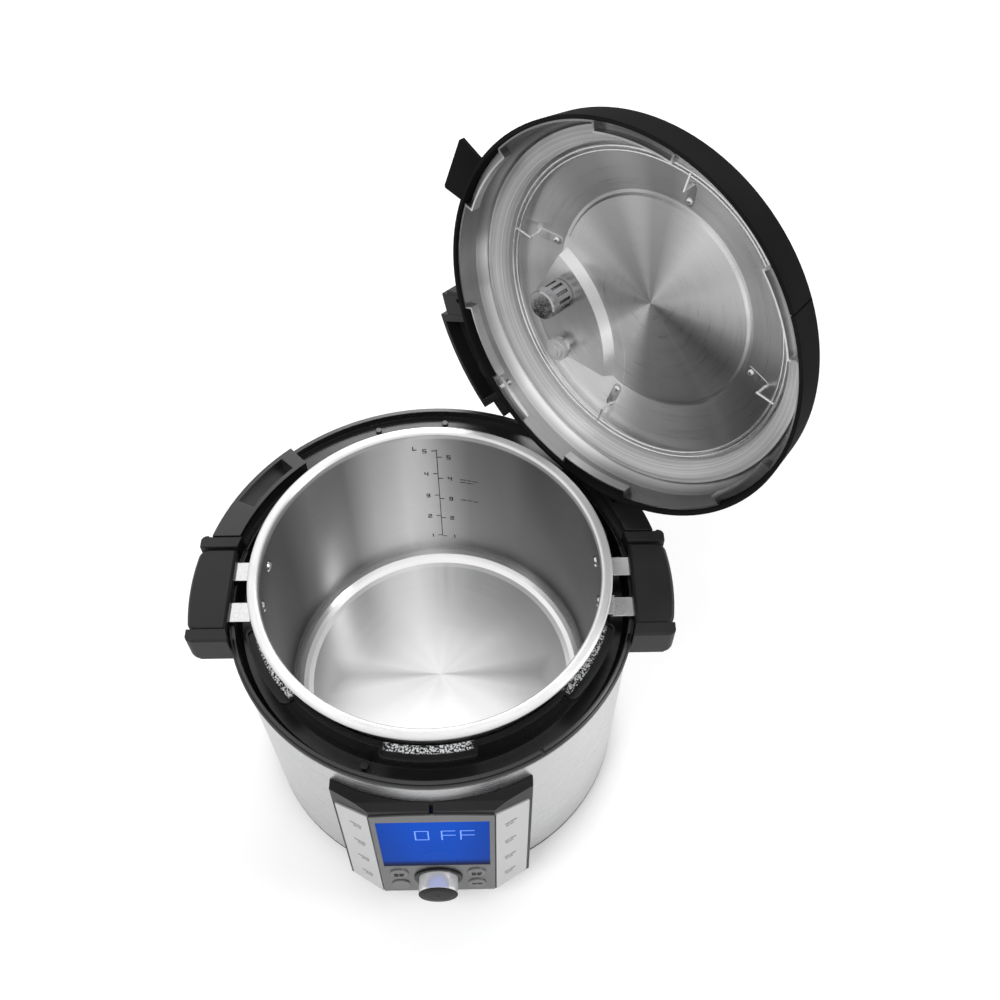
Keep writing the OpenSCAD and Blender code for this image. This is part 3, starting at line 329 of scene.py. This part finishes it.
def speckled(name):
    """Baked coating of the heated well: dense pale specks painted as glints of the textured coat where it faces the
    light, on the floors of the lobed rim, glossy black on the bead round them and inside."""
    mat, tree, shader = new_material(name)
    p = object_point(tree)
    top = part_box("outer_pot")[1].z
    z = vector_node(tree, "DOT_PRODUCT", p, (0, 0, 1))
    flat = vector_node(tree, "MULTIPLY", p, (1, 1, 0))
    inner = remap(tree, vector_node(tree, "LENGTH", flat), 0.1168, 0.1176, 1.0, 0.0)
    sunk = math_node(tree, "MULTIPLY", remap(tree, z, top - 0.0014, top - 0.0007, 1.0, 0.0), inner)
    shelf = remap(tree, z, top - 0.0024, top - 0.0018, 0.0, 1.0)
    cells = add(tree, "ShaderNodeTexVoronoi")
    cells.inputs["Scale"].default_value = 800.0
    link(tree, p, cells.inputs["Vector"])
    near = remap(tree, cells.outputs["Distance"], 0.4, 0.62, 1.0, 0.0)
    keep = remap(tree, noise(tree, p, 420.0, 2.0), 0.36, 0.44, 0.0, 1.0)
    x = vector_node(tree, "DOT_PRODUCT", p, (1, 0, 0))
    y = vector_node(tree, "DOT_PRODUCT", p, (0, 1, 0))
    six_turns = math_node(tree, "MULTIPLY", math_node(tree, "ARCTAN2", y, x), 6.0)
    in_lobe = remap(tree, math_node(tree, "COSINE", six_turns), -0.3, -0.1, 1.0, 0.0)
    # painted glints: pale specks only on the lobes' sunk floors, the rest glossy black
    spots = near
    for share in (keep, sunk, shelf, in_lobe):
        spots = math_node(tree, "MULTIPLY", spots, share)
    tint_by(tree, shader, spots, 0.0, 1.0, (0.012, 0.012, 0.013), (0.86, 0.87, 0.88))
    link(tree, remap(tree, noise(tree, p, 60.0), 0.3, 0.7, 0.16, 0.26), shader.inputs["Roughness"])
    shader.inputs["Specular IOR Level"].default_value = 0.3
    bump(tree, shader, spots, 0.00006, 0.6)
    return mat


def painted(name, colour, rough, metal=0.7, flake=2400.0):
    """Silver paint with fine flake."""
    mat, tree, shader = new_material(name)
    p = object_point(tree)
    n = noise(tree, p, flake, 2.0)
    broad = noise(tree, p, 25.0, 2.0)
    tint_by(tree, shader, n, 0.35, 0.65, shade(colour, 0.94), shade(colour, 1.05))
    link(tree, remap(tree, broad, 0.3, 0.7, rough - 0.04, rough + 0.04), shader.inputs["Roughness"])
    shader.inputs["Metallic"].default_value = metal
    bump(tree, shader, n, 0.00001, 0.4, soft_edge(tree, 0.0004))
    return mat


def lit_window(name):
    """Blue backlit display under clear plastic: bright field, darker towards its edges."""
    mat, tree, shader = new_material(name)
    p = vector_node(tree, "SUBTRACT", object_point(tree), tuple(mid("display_window")))
    x = math_node(tree, "ABSOLUTE", vector_node(tree, "DOT_PRODUCT", p, (1, 0, 0)))
    y = vector_node(tree, "DOT_PRODUCT", p, tuple(PANEL_UP))
    lo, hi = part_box("display_window")
    half = (hi.x - lo.x) / 2
    tall = (hi.z - lo.z) / 2
    side = remap(tree, x, half * 0.35, half, 1.0, 0.72)
    low_edge = remap(tree, y, -tall * 0.92, -tall * 0.72, 0.06, 1.0)
    rise = remap(tree, y, -tall * 0.7, tall, 0.82, 1.0)
    glow = math_node(tree, "MULTIPLY", math_node(tree, "MULTIPLY", side, low_edge), rise)
    dots = remap(tree, noise(tree, p, 700.0, 1.0), 0.3, 0.7, 0.95, 1.05)
    glow = math_node(tree, "MULTIPLY", glow, dots)
    lit = ramp(tree, glow, [(0.0, (0.004, 0.006, 0.03)), (1.0, (0.0, 0.085, 0.62))])
    link(tree, lit, shader.inputs["Emission Color"])
    shader.inputs["Emission Strength"].default_value = 0.9
    shader.inputs["Base Color"].default_value = (0.001, 0.003, 0.012, 1)
    shader.inputs["Specular IOR Level"].default_value = 0.015
    link(tree, remap(tree, noise(tree, p, 40.0), 0.3, 0.7, 0.06, 0.12), shader.inputs["Roughness"])
    return mat


def glow(name, colour, strength):
    """Lit ink, a little uneven."""
    mat, tree, shader = new_material(name)
    p = object_point(tree)
    n = noise(tree, p, 500.0, 1.0)
    link(tree, ramp(tree, n, [(0.2, shade(colour, 0.93)), (0.8, colour)]), shader.inputs["Emission Color"])
    tint_by(tree, shader, n, 0.2, 0.8, shade(colour, 0.5), shade(colour, 0.55))
    shader.inputs["Emission Strength"].default_value = strength
    shader.inputs["Roughness"].default_value = 0.3
    return mat


def clear_smoke(name):
    """Clear plastic with a grey cast, for the drip cup."""
    mat, tree, shader = new_material(name)
    p = object_point(tree)
    tint_by(tree, shader, noise(tree, p, 30.0), 0.3, 0.7, (0.62, 0.64, 0.66), (0.7, 0.72, 0.74))
    link(tree, remap(tree, noise(tree, p, 60.0), 0.3, 0.7, 0.08, 0.16), shader.inputs["Roughness"])
    shader.inputs["Transmission Weight"].default_value = 0.85
    shader.inputs["IOR"].default_value = 1.46
    return mat


def ink(name, colour):
    """Matt printing ink."""
    mat, tree, shader = new_material(name)
    p = object_point(tree)
    n = noise(tree, p, 1500.0, 2.0)
    tint_by(tree, shader, n, 0.3, 0.7, shade(colour, 0.85), shade(colour, 1.1))
    shader.inputs["Roughness"].default_value = 0.55
    return mat


def body_materials():
    """One material for each of the CAD's slots."""
    # brush spaces: centre, axes and the sense in which height adds to radius
    upright = ((0, 0, 0), None, 1.0)
    lid_space = (tuple(LID), (LID_X, LID_Y, LID_UP), -1.0)
    floor_z, rim_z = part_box("pot_vessel")[0].z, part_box("pot_vessel")[1].z
    all_wall = ("z", -2.0, -1.0)  # wall all the way up
    # painted reflection bands round the pot's wall: tones from the back by way of the left, the front and the right
    # to the back
    pot_wall_reflections = [
        (0.0, 0.58), (0.035, 0.9), (0.07, 0.68), (0.1, 0.33), (0.145, 0.5), (0.19, 0.24), (0.32, 0.26), (0.5, 0.42),
        (0.7, 0.25), (0.8, 0.18), (0.9, 0.19), (0.965, 0.32), (1.0, 0.58),
    ]
    # painted reflection round the lid's wall: 0.62 at the start and end of the turn, 0.42 half way
    lid_wall_reflections = [(0.0, 0.62), (0.5, 0.42), (1.0, 0.62)]
    mats = {}

    def make(kind, name, *values, **options):
        mats[name] = kind(name, *values, **options)

    make(plastic, "base_black", (0.012, 0.012, 0.013), 0.5)
    make(rubber, "foot_rubber", (0.03, 0.03, 0.03), 0.8)
    make(
        brushed, "shell_steel", (0.67, 0.67, 0.675), 0.27, 0.55, upright,
        fine=1300.0, spread=0.05, wall_at=all_wall, tint=0.03,
    )
    make(plastic, "collar_black", (0.009, 0.009, 0.01), 0.28, grain=2200.0, depth=0.000008, edge=0.0006, spec=0.7)
    make(plastic, "cradle_black", (0.014, 0.014, 0.015), 0.42, grain=1800.0, depth=0.00005, edge=0.0012, spec=0.3)
    make(plastic, "housing_black", (0.008, 0.008, 0.009), 0.36, spec=0.25)
    make(plastic, "inlet_black", (0.01, 0.01, 0.011), 0.42)
    make(clear_smoke, "cup_clear")
    make(speckled, "well_dark")
    make(plain_metal, "heater_alu", (0.6, 0.6, 0.6), 0.45)
    make(plain_metal, "element_steel", (0.35, 0.32, 0.3), 0.4)
    make(plain_metal, "sensor_alu", (0.75, 0.75, 0.76), 0.3)
    make(plain_metal, "bracket_zinc", (0.6, 0.62, 0.66), 0.35)
    make(plastic, "fuse_white", (0.75, 0.72, 0.66), 0.6)
    make(plastic, "board_green", (0.03, 0.2, 0.08), 0.4)
    make(painted, "panel_silver", (0.20, 0.20, 0.203), 0.34, metal=0.8)
    make(painted, "key_silver", (0.66, 0.66, 0.665), 0.4, metal=0.6)
    make(lit_window, "window_blue")
    make(plastic, "module_grey", (0.45, 0.45, 0.45), 0.5)
    make(plastic, "ring_black", (0.004, 0.004, 0.0045), 0.18)
    make(painted, "knob_chrome", (0.97, 0.97, 0.975), 0.1, metal=0.45)
    make(plastic, "knob_face", (0.011, 0.011, 0.0126), 0.3, spec=0.08)
    make(plain_metal, "shaft_steel", (0.6, 0.6, 0.6), 0.3)
    make(plastic, "encoder_grey", (0.3, 0.3, 0.3), 0.5)
    make(painted, "button_silver", (0.22, 0.22, 0.223), 0.3, metal=0.8)
    make(
        brushed, "pot_steel", (0.95, 0.95, 0.953), 0.3, 0.86, upright, fine=2400.0, spread=0.03,
        wall_at=("z", floor_z + 0.003, floor_z + 0.013), tint=0.025, fan=0.04, wedges=0.3,
        wall_bands=pot_wall_reflections, lip=(rim_z - 0.006, rim_z - 0.0035), gloss=0.74,
    )
    make(brushed, "disc_steel", (0.6, 0.6, 0.6), 0.35, 0.6, upright)
    make(plain_metal, "strap_steel", (0.86, 0.86, 0.865), 0.13, edge=0.0006, scale=700.0)
    make(plastic, "grip_black", (0.012, 0.012, 0.013), 0.46, grain=1700.0, depth=0.00006, edge=0.0012, spec=0.3)
    make(plain_metal, "rivet_steel", (0.8, 0.8, 0.81), 0.16)
    make(plastic, "lid_black", (0.011, 0.011, 0.0118), 0.66, grain=1800.0, depth=0.00005, edge=0.0012, spec=0.015)
    make(plastic, "lid_trim_black", (0.012, 0.012, 0.013), 0.42, grain=1800.0, depth=0.00003, edge=0.001, spec=0.28)
    make(
        brushed, "lid_steel", (0.7, 0.7, 0.703), 0.3, 0.88, lid_space, fine=2400.0, spread=0.05,
        wall_at=("r", 0.1205, 0.123), tint=0.06, fan=0.42, wall_bands=lid_wall_reflections,
    )
    make(rubber, "seal_grey", (0.84, 0.84, 0.842), 0.13, see_through=0.5, rings=lid_space)
    make(plain_metal, "rack_steel", (0.75, 0.75, 0.76), 0.2, edge=0.0)
    make(plain_metal, "shield_steel", (0.42, 0.42, 0.426), 0.16)
    make(plain_metal, "pipe_steel", (0.6, 0.6, 0.61), 0.3)
    make(plastic, "weight_black", (0.01, 0.01, 0.011), 0.4)
    make(plastic, "release_dark", (0.02, 0.02, 0.022), 0.42)
    make(plain_metal, "float_steel", (0.66, 0.66, 0.67), 0.3)
    make(rubber, "float_silicone", (0.8, 0.8, 0.802), 0.2, see_through=0.4)
    make(plain_metal, "lock_steel", (0.78, 0.78, 0.79), 0.2)
    return mats


def dress_cad(mats):
    slots = {s["node"]: s.get("material_slot", s["node"]) for s in frame["record"]["subparts"]}
    for node, obj in NODES.items():
        mat = mats[slots[node]]
        for s in obj.material_slots:
            s.material = mat


# ---------------------------------------------------------------- detail pieces


def mesh_piece(name, bm, mat, body):
    mesh = bpy.data.meshes.new(name)
    bm.normal_update()
    bm.to_mesh(mesh)
    bm.free()
    obj = bpy.data.objects.new(name, mesh)
    bpy.context.scene.collection.objects.link(obj)
    obj.data.materials.append(mat)
    for poly in mesh.polygons:
        poly.use_smooth = False
    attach(obj, body)
    return obj


def add_box(bm, corners):
    """A box from eight corners, in the order x fastest, then y, then z."""
    vs = [bm.verts.new(c) for c in corners]
    for f in ((0, 2, 3, 1), (4, 5, 7, 6), (0, 1, 5, 4), (2, 6, 7, 3), (0, 4, 6, 2), (1, 3, 7, 5)):
        bm.faces.new([vs[i] for i in f])


def wall_quad(bm, radius, a0, a1, z0, z1):
    """A thin printed patch on the inside of a round wall."""
    spots = ((a0, z0), (a1, z0), (a1, z1), (a0, z1))
    ring, back = [
        [bm.verts.new((r * math.sin(a), r * math.cos(a), z)) for a, z in spots] for r in (radius, radius + INK_THICK)
    ]
    bm.faces.new(ring)
    bm.faces.new(back[::-1])
    for i in range(4):
        j = (i + 1) % 4
        bm.faces.new((ring[j], ring[i], back[i], back[j]))


SEGMENTS = {
    "0": "abcdef", "1": "bc", "2": "abged", "3": "abgcd", "4": "fgbc", "5": "afgcd", "6": "afgedc",
    "F": "aefg", "O": "abcdef", "L": "fed",
}


def stroke_boxes(char, w, h, t):
    """Rectangles (x0, x1, y0, y1) that draw a character, with its lower left corner at the origin."""
    m = h / 2
    place = {
        "a": (0, w, h - t, h), "b": (w - t, w, m, h), "c": (w - t, w, 0, m), "d": (0, w, 0, t),
        "e": (0, t, 0, m), "f": (0, t, m, h), "g": (0, w, m - t / 2, m + t / 2),
    }
    return [place[s] for s in SEGMENTS[char]]


def level_marks(mats):
    """Level scale printed on the far wall of the cooking pot: litres on the left, quarts on the right, and
    dashes for the two short wordings."""
    bm = bmesh.new()
    radius = POT_INSIDE_R - INK_THICK
    centre = math.radians(0.6)
    litre = 0.0269
    quart = litre * 0.946
    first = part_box("pot_vessel")[0].z + 0.0262
    top = first + 4.06 * litre

    def bar(x0, x1, z0, z1):
        wall_quad(bm, radius, centre + x0 / radius, centre + x1 / radius, z0, z1)

    def character(char, x, z):
        for x0, x1, z0, z1 in stroke_boxes(char, 0.003, 0.0046, 0.0008):
            bar(x + x0, x + x1, z + z0, z + z1)

    bar(-0.0003, 0.0003, first - 0.0006, top)
    for count in range(1, 6):
        for step, tick, number in ((litre, (-0.0036, 0), -0.0100), (quart, (0, 0.0036), 0.0070)):
            z = first - litre + count * step
            bar(*tick, z - 0.0004, z + 0.0004)
            character(str(count), number, z - 0.0023)
        for line in range(count - 2 if count in (3, 4) else 0):
            z_line = z - 0.0032 * line
            for x0, x1 in ((0.016, 0.0205), (0.0214, 0.0245), (0.0254, 0.0292 - 0.003 * line)):
                bar(x0, x1, z_line - 0.0005, z_line + 0.0002)
    character("L", -0.0170, top + 0.0002)
    mesh_piece("level_marks", bm, mats["ink"], "cooking_pot")


def panel_box(bm, x0, x1, y0, y1, z0, z1):
    add_box(bm, [on_panel(x, y, z) for z in (z0, z1) for y in (y0, y1) for x in (x0, x1)])


def display_word(mats):
    """Segments that spell OFF on the lit display."""
    middle = mid("display_window") - PANEL_MID
    low = middle.dot(PANEL_UP) + 0.0074
    face = middle.dot(PANEL_OUT) + 0.0005
    gap = 0.0002
    bm = bmesh.new()
    for x, char in zip((-0.0124, 0.0045, 0.0166), "OFF"):
        left = middle.x + x
        for x0, x1, y0, y1 in stroke_boxes(char, 0.0096, 0.0148, 0.0013):
            panel_box(bm, left + x0 + gap, left + x1 - gap, low + y0 + gap, low + y1 - gap, face, face + 0.0001)
    mesh_piece("display_word", bm, mats["segment"], "base")


def wing_point(side, u, y, h):
    """Point on a key panel: u outward from the fold and y up from the panel's middle, h above its face."""
    lo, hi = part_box("key_panel_right")
    fold = Vector((min(abs(lo.x), abs(hi.x)) * side, 0, 0))
    sideways = Vector((side, 0, 0))
    along = sideways * math.cos(WING_TURN) - PANEL_OUT * math.sin(WING_TURN)
    out = PANEL_OUT * math.cos(WING_TURN) + sideways * math.sin(WING_TURN)
    middle = (mid("face_panel") - PANEL_MID).dot(PANEL_UP)
    return PANEL_MID + PANEL_UP * (middle + y) + fold + along * u + out * (PLATE_FACE + h)


def key_legends(mats):
    """Two short rows of plain dashes for each of the four keys on either side."""
    rows = (((0.0065, 0.0098), (0.0104, 0.0152)), ((0.0072, 0.0094), (0.0100, 0.0128)))
    for side, node in ((-1, "left"), (1, "right")):
        bm = bmesh.new()
        for key_y in (0.040, 0.0125, -0.0145, -0.0415):
            for row, spans in enumerate(rows):
                y = key_y - 0.0035 * row
                for ends in spans:
                    add_box(bm, [
                        wing_point(side, u, v, h)
                        for h in (-0.0001, INK_THICK) for v in (y - 0.0006, y + 0.0005) for u in ends
                    ])
        mesh_piece("key_legends_" + node, bm, mats["legend"], "base")


def button_marks(mats):
    """One or two rows of dark dashes on three of the buttons."""
    for place, rows in (("upper_left", 2), ("upper_right", 2), ("lower_right", 1)):
        node = "button_" + place
        middle = mid(node)
        x, y = middle.x - PANEL_MID.x, (middle - PANEL_MID).dot(PANEL_UP)
        front = Vector((middle.x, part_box(node)[0].y, middle.z))
        top = (front - PANEL_MID).dot(PANEL_OUT)
        bm = bmesh.new()
        for k in range(rows):
            z = y - 0.0028 * k
            for x0, x1 in ((-0.0036, -0.0006), (0.0, 0.0034 - 0.0008 * k)):
                panel_box(bm, x + x0, x + x1, z - 0.0006, z + 0.0004, top - 0.0012, top - 0.00015)
        mesh_piece("mark_" + node, bm, mats["ink"], "key_" + place)


def low_dome(bm, centre, axis, radius, height, sides=20):
    """A round head with a bevelled edge, its foot at centre."""
    axis = Vector(axis).normalized()
    side = axis.orthogonal().normalized()
    other = axis.cross(side)
    rings = []
    for r, h in ((1.0, 0.0), (1.0, 0.45), (0.82, 0.8), (0.45, 1.0)):
        turns = [2 * math.pi * k / sides for k in range(sides)]
        spokes = [side * math.cos(a) + other * math.sin(a) for a in turns]
        rings.append([bm.verts.new(centre + spoke * radius * r + axis * height * h) for spoke in spokes])
    for low, high in zip(rings, rings[1:]):
        for k in range(sides):
            j = (k + 1) % sides
            bm.faces.new((low[k], low[j], high[j], high[k]))
    bm.faces.new(rings[0][::-1])
    bm.faces.new(rings[-1])


def rounded_tab(bm, start, end, normal, width, thick, steps=8):
    """A flat tab with round ends from start to end, thick along normal."""
    along = (end - start).normalized()
    across = normal.cross(along).normalized()
    outline = []
    for centre, base in ((end, -math.pi / 2), (start, math.pi / 2)):
        for k in range(steps + 1):
            a = base + math.pi * k / steps
            outline.append(centre + (along * math.cos(a) + across * math.sin(a)) * width / 2)
    low = [bm.verts.new(q) for q in outline]
    high = [bm.verts.new(q + normal * thick) for q in outline]
    bm.faces.new(low[::-1])
    bm.faces.new(high)
    for k in range(len(low)):
        j = (k + 1) % len(low)
        bm.faces.new((low[k], low[j], high[j], high[k]))


def rack_clips(mats):
    """The riveted tabs that hold the ring's wire rack to the dish."""
    tabs, heads = bmesh.new(), bmesh.new()
    down = -LID_UP
    for deg in (42, 130, 222, 310):
        a = math.radians(deg)
        out = LID_X * math.cos(a) + LID_Y * math.sin(a)

        def at(r, z):
            return LID + out * r + LID_UP * z

        start, end = at(0.0775, 0.0429), at(0.0895, 0.0400)
        slope = (end - start).normalized()
        normal = (down - slope * down.dot(slope)).normalized()
        rounded_tab(tabs, start, end, normal, 0.0062, 0.0008)
        low_dome(heads, at(0.0785, 0.0426) + normal * 0.0007, normal, 0.0021, 0.0011)
    mesh_piece("rack_clip_tabs", tabs, mats["rack_steel"], "lid")
    mesh_piece("rack_clip_rivets", heads, mats["rivet_steel"], "lid")


def build():
    mats = body_materials()
    mats["ink"] = ink("level_ink", (0.02, 0.02, 0.022))
    mats["segment"] = glow("segment_pale", (0.13, 0.29, 0.88), 0.85)
    mats["legend"] = ink("legend_ink", (0.32, 0.32, 0.33))
    dress_cad(mats)
    level_marks(mats)
    display_word(mats)
    key_legends(mats)
    button_marks(mats)
    rack_clips(mats)


# ---------------------------------------------------------------- floor, lamps, camera


def make_floor():
    """Pale ground that keeps the shadow and brightens to the background's white far from the object."""
    mesh = bpy.data.meshes.new("floor")
    bm = bmesh.new()
    bmesh.ops.create_grid(bm, x_segments=1, y_segments=1, size=6.0)
    bm.to_mesh(mesh)
    bm.free()
    obj = bpy.data.objects.new("floor", mesh)
    bpy.context.scene.collection.objects.link(obj)
    mat, tree, shader = new_material("floor_white")
    shader.inputs["Base Color"].default_value = (0.93, 0.93, 0.93, 1)
    shader.inputs["Roughness"].default_value = 0.9
    shader.inputs["Specular IOR Level"].default_value = 0.1
    shader.inputs["Emission Color"].default_value = (1, 1, 1, 1)
    seen = add(tree, "ShaderNodeLightPath").outputs["Is Camera Ray"]
    away = vector_node(tree, "LENGTH", object_point(tree))
    lift = remap(tree, away, 0.9, 1.8, 0.22, 1.0)
    link(tree, math_node(tree, "MULTIPLY", seen, lift), shader.inputs["Emission Strength"])
    obj.data.materials.append(mat)


def make_world():
    """Even fill light, seen and mirrored as plain white."""
    world = bpy.data.worlds.new("studio")
    bpy.context.scene.world = world
    world.use_nodes = True
    tree = world.node_tree
    tree.nodes.clear()
    out = add(tree, "ShaderNodeOutputWorld")
    rays = add(tree, "ShaderNodeLightPath")
    seen = math_node(tree, "MAXIMUM", rays.outputs["Is Camera Ray"], rays.outputs["Is Glossy Ray"])
    seen = math_node(tree, "MAXIMUM", seen, rays.outputs["Is Transmission Ray"])
    fill = add(tree, "ShaderNodeBackground")
    fill.inputs["Color"].default_value = (1, 1, 1, 1)
    fill.inputs["Strength"].default_value = 0.55
    white = add(tree, "ShaderNodeBackground")
    white.inputs["Color"].default_value = (1, 1, 1, 1)
    white.inputs["Strength"].default_value = 1.0
    mix = add(tree, "ShaderNodeMixShader")
    link(tree, seen, mix.inputs["Fac"])
    link(tree, fill.outputs[0], mix.inputs[1])
    link(tree, white.outputs[0], mix.inputs[2])
    link(tree, mix.outputs[0], out.inputs["Surface"])


def area_lamp(name, place, target, size, power):
    data = bpy.data.lights.new(name, "AREA")
    data.shape = "RECTANGLE"
    data.size, data.size_y = size
    data.energy = power
    obj = bpy.data.objects.new(name, data)
    obj.location = place
    obj.rotation_euler = (Vector(target) - Vector(place)).to_track_quat("-Z", "Y").to_euler()
    bpy.context.scene.collection.objects.link(obj)
    return obj


def make_lamps():
    """A soft key from the front left that steel and plastic don't mirror, and two weaker lamps."""
    target = (0, 0, 0.15)
    key = area_lamp("key", (-0.9, -0.9, 1.9), target, (0.9, 0.9), 16)
    key.visible_glossy = False
    area_lamp("rear", (0.2, 1.5, 1.6), target, (1.2, 0.5), 12)
    area_lamp("right", (1.6, -0.3, 1.2), target, (0.5, 1.2), 8)


def make_camera():
    """Looks down at the front from about 54 degrees, a little right of centre."""
    pitch, yaw, roll = 0.950916, 0.0173587, 0.00018
    data = bpy.data.cameras.new("camera")
    data.sensor_width = 36.0
    data.lens = 1.068346 * 36.0
    data.shift_x = 0.00175
    data.shift_y = 0.00145
    data.clip_start = 0.05
    data.clip_end = 50.0
    obj = bpy.data.objects.new("camera", data)
    look = Vector((math.sin(yaw) * math.cos(pitch), math.cos(yaw) * math.cos(pitch), -math.sin(pitch)))
    right = Vector((math.cos(yaw), -math.sin(yaw), 0))
    up = right.cross(look)
    turn = Matrix((right, up, -look)).transposed().to_4x4()
    obj.matrix_world = Matrix.Translation((0.0371294, -0.3632346, 0.7991205)) @ turn
    bpy.context.scene.collection.objects.link(obj)
    bpy.context.scene.camera = obj


def main():
    scene = bpy.context.scene
    scene.view_settings.view_transform = "Standard"
    make_camera()
    make_floor()
    make_world()
    make_lamps()
    build()


main()
